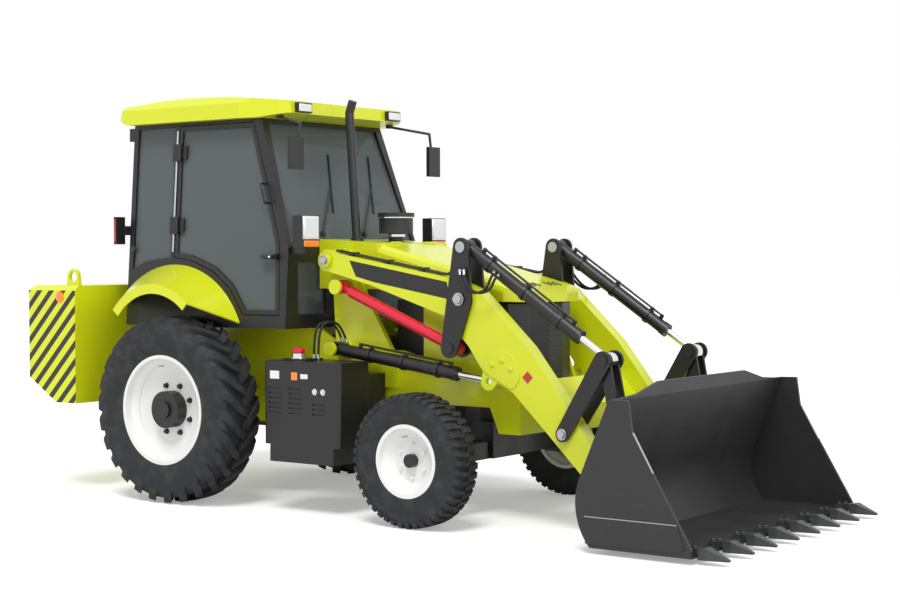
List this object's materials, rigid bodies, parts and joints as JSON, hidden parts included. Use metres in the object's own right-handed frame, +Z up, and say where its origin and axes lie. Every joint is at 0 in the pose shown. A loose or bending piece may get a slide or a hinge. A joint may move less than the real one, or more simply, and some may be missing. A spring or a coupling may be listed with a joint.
{
  "type": "wheeled tractor loader with rear counterweight",
  "caption": "Four-wheeled tractor loader with a front bucket on bent lift arms, a glazed cab, arched rear fenders and a striped rear counterweight.",
  "frame": {"origin": "on the ground under the middle of the overall length and width", "axes": "+X forward, +Y to the left, +Z up"},
  "size_m": [6.022, 2.378, 2.9898],
  "materials": {
    "lime_paint": "gloss lime-yellow enamel",
    "black_paint": "satin black enamel",
    "engine_paint": "dark grey engine paint",
    "clear_plastic": "clear bowl under a dark cap",
    "tinted_glass": "grey tinted glass",
    "black_plastic": "grained black plastic",
    "seat_cover": "black seat cloth",
    "lamp": "clear lens in a dark housing",
    "red_lens": "red lens",
    "red_paint": "red enamel",
    "chrome": "polished hard chrome",
    "steel": "bare steel",
    "cast_steel": "dark cast steel",
    "tyre": "black tyre rubber",
    "white_paint": "gloss white enamel"
  },
  "bodies": {
    "chassis": {"chassis_frame": "lime_paint", "counterweight": "lime_paint", "front_axle": "black_paint", "rear_axle": "black_paint", "engine_block": "engine_paint", "grille": "black_paint", "hood_cowl": "lime_paint", "exhaust": "black_paint", "pre_cleaner": "clear_plastic", "cab_frame": "black_paint", "cab_panes": "tinted_glass", "cab_roof": "lime_paint", "cab_floor": "black_plastic", "fenders": "lime_paint", "seat": "seat_cover", "steering_wheel": "black_plastic", "tank_box": "black_paint", "fuel_tank": "black_paint", "headlamps": "lamp", "work_lamps": "lamp", "tail_lamps": "red_lens", "mirrors": "black_plastic"},
    "hood": {"hood": "lime_paint"},
    "door_left": {"door_left": "black_paint", "door_left_pane": "tinted_glass"},
    "door_right": {"door_right": "black_paint", "door_right_pane": "tinted_glass"},
    "left_knuckle": {"knuckle_left": "black_paint"},
    "right_knuckle": {"knuckle_right": "black_paint"},
    "track_rod": {"track_rod": "black_paint"},
    "arms": {"loader_arms": "lime_paint", "lever_pins": "steel", "bucket_pins": "steel"},
    "cranks": {"cranks": "black_paint", "crank_pins": "steel"},
    "tie_rods": {"tie_rods": "red_paint"},
    "lift_barrels": {"lift_barrels": "black_paint"},
    "lift_rods": {"lift_rods": "chrome"},
    "tilt_barrels": {"tilt_barrels": "black_paint"},
    "tilt_rods": {"tilt_rods": "chrome"},
    "levers": {"levers": "black_paint"},
    "links": {"links": "black_paint"},
    "bucket": {"bucket": "black_paint", "bucket_teeth": "cast_steel", "link_pins": "steel"},
    "rear_left_wheel": {"rear_left_tyre": "tyre", "rear_left_rim": "white_paint", "rear_left_hub": "black_paint"},
    "rear_right_wheel": {"rear_right_tyre": "tyre", "rear_right_rim": "white_paint", "rear_right_hub": "black_paint"},
    "front_left_wheel": {"front_left_tyre": "tyre", "front_left_rim": "white_paint", "front_left_hub": "black_paint"},
    "front_right_wheel": {"front_right_tyre": "tyre", "front_right_rim": "white_paint", "front_right_hub": "black_paint"}
  },
  "joints": [
    {"name": "rear_left_wheel_spin", "type": "hinge", "parent": "chassis", "child": "rear_left_wheel", "pos_m": [-1.522, 0.999, 0.682], "axis": [0, 1, 0], "continuous": true},
    {"name": "front_left_wheel_spin", "type": "hinge", "parent": "left_knuckle", "child": "front_left_wheel", "pos_m": [0.648, 0.9745, 0.447], "axis": [0, 1, 0], "continuous": true},
    {"name": "rear_right_wheel_spin", "type": "hinge", "parent": "chassis", "child": "rear_right_wheel", "pos_m": [-1.522, -0.999, 0.682], "axis": [0, 1, 0], "continuous": true},
    {"name": "front_right_wheel_spin", "type": "hinge", "parent": "right_knuckle", "child": "front_right_wheel", "pos_m": [0.648, -0.9745, 0.447], "axis": [0, 1, 0], "continuous": true},
    {"name": "steer_left", "type": "hinge", "parent": "chassis", "child": "left_knuckle", "pos_m": [0.648, 0.8, 0.447], "axis": [0, 0, 1], "range_deg": [-35, 35]},
    {"name": "steer_right", "type": "hinge", "parent": "chassis", "child": "right_knuckle", "pos_m": [0.648, -0.8, 0.447], "axis": [0, 0, 1], "range_deg": [-35, 35]},
    {"name": "track_rod_turn", "type": "hinge", "parent": "left_knuckle", "child": "track_rod", "pos_m": [0.498, 0.8, 0.429], "axis": [0, 0, 1], "range_deg": [-35, 35]},
    {"name": "hood_hinge", "type": "hinge", "parent": "chassis", "child": "hood", "pos_m": [-0.102, 0, 1.89], "axis": [0, -1, 0], "range_deg": [0, 45]},
    {"name": "door_left_hinge", "type": "hinge", "parent": "chassis", "child": "door_left", "pos_m": [-1.747, 0.75007, 2.3], "axis": [0, -0.0719, 0.9974], "range_deg": [0, 75]},
    {"name": "door_right_hinge", "type": "hinge", "parent": "chassis", "child": "door_right", "pos_m": [-1.747, -0.75007, 2.3], "axis": [0, -0.0719, -0.9974], "range_deg": [0, 75]},
    {"name": "lift", "type": "hinge", "parent": "chassis", "child": "arms", "pos_m": [-0.403, 0, 1.766], "axis": [0, -1, 0], "range_deg": [0, 66]},
    {"name": "crank_swing", "type": "hinge", "parent": "arms", "child": "cranks", "pos_m": [0.779, 0, 1.505], "axis": [0, -1, 0], "range_deg": [-40.96, 0]},
    {"name": "tie_rod_swing", "type": "hinge", "parent": "chassis", "child": "tie_rods", "pos_m": [-0.307, 0, 1.577], "axis": [0, -1, 0], "range_deg": [0, 72.95]},
    {"name": "lift_barrel_swing", "type": "hinge", "parent": "chassis", "child": "lift_barrels", "pos_m": [-0.358, 0, 1.137], "axis": [0, -1, 0], "range_deg": [0, 59.9]},
    {"name": "lift_rod_slide", "type": "slide", "parent": "lift_barrels", "child": "lift_rods", "axis": [0.9913, 0, -0.1317], "range_m": [0, 0.6573]},
    {"name": "tilt", "type": "hinge", "parent": "arms", "child": "bucket", "pos_m": [1.843, 0, 0.36], "axis": [0, -1, 0], "range_deg": [-110, 28]},
    {"name": "lever_swing", "type": "hinge", "parent": "arms", "child": "levers", "pos_m": [1.595, 0, 0.645], "axis": [0, -1, 0], "range_deg": [-55.42, 14.85]},
    {"name": "link_swing", "type": "hinge", "parent": "bucket", "child": "links", "pos_m": [2.016, 0, 0.53], "axis": [0, -1, 0], "range_deg": [-21.84, 82.86]},
    {"name": "tilt_barrel_swing", "type": "hinge", "parent": "cranks", "child": "tilt_barrels", "pos_m": [0.794, 0, 1.855], "axis": [0, -1, 0], "range_deg": [0, 45.88]},
    {"name": "tilt_rod_slide", "type": "slide", "parent": "tilt_barrels", "child": "tilt_rods", "axis": [0.8348, 0, -0.5505], "range_m": [-0.1245, 0.4831]}
  ],
  "couplings": [
    {"joint": "steer_right", "follows": "steer_left", "ratio": 1},
    {"joint": "track_rod_turn", "follows": "steer_left", "ratio": -1},
    {"joint": "crank_swing", "follows": "lift", "ratio": -0.6055},
    {"joint": "tie_rod_swing", "follows": "lift", "ratio": 1.0902},
    {"joint": "lift_barrel_swing", "follows": "lift", "ratio": 0.8924},
    {"joint": "lift_rod_slide", "follows": "lift", "m_per_rad": 0.5689},
    {"joint": "lever_swing", "follows": "tilt", "ratio": 0.4947},
    {"joint": "link_swing", "follows": "tilt", "ratio": -0.7442},
    {"joint": "tilt_barrel_swing", "follows": "lift", "ratio": 0.68},
    {"joint": "tilt_rod_slide", "follows": "tilt", "m_per_rad": -0.2506}
  ]
}
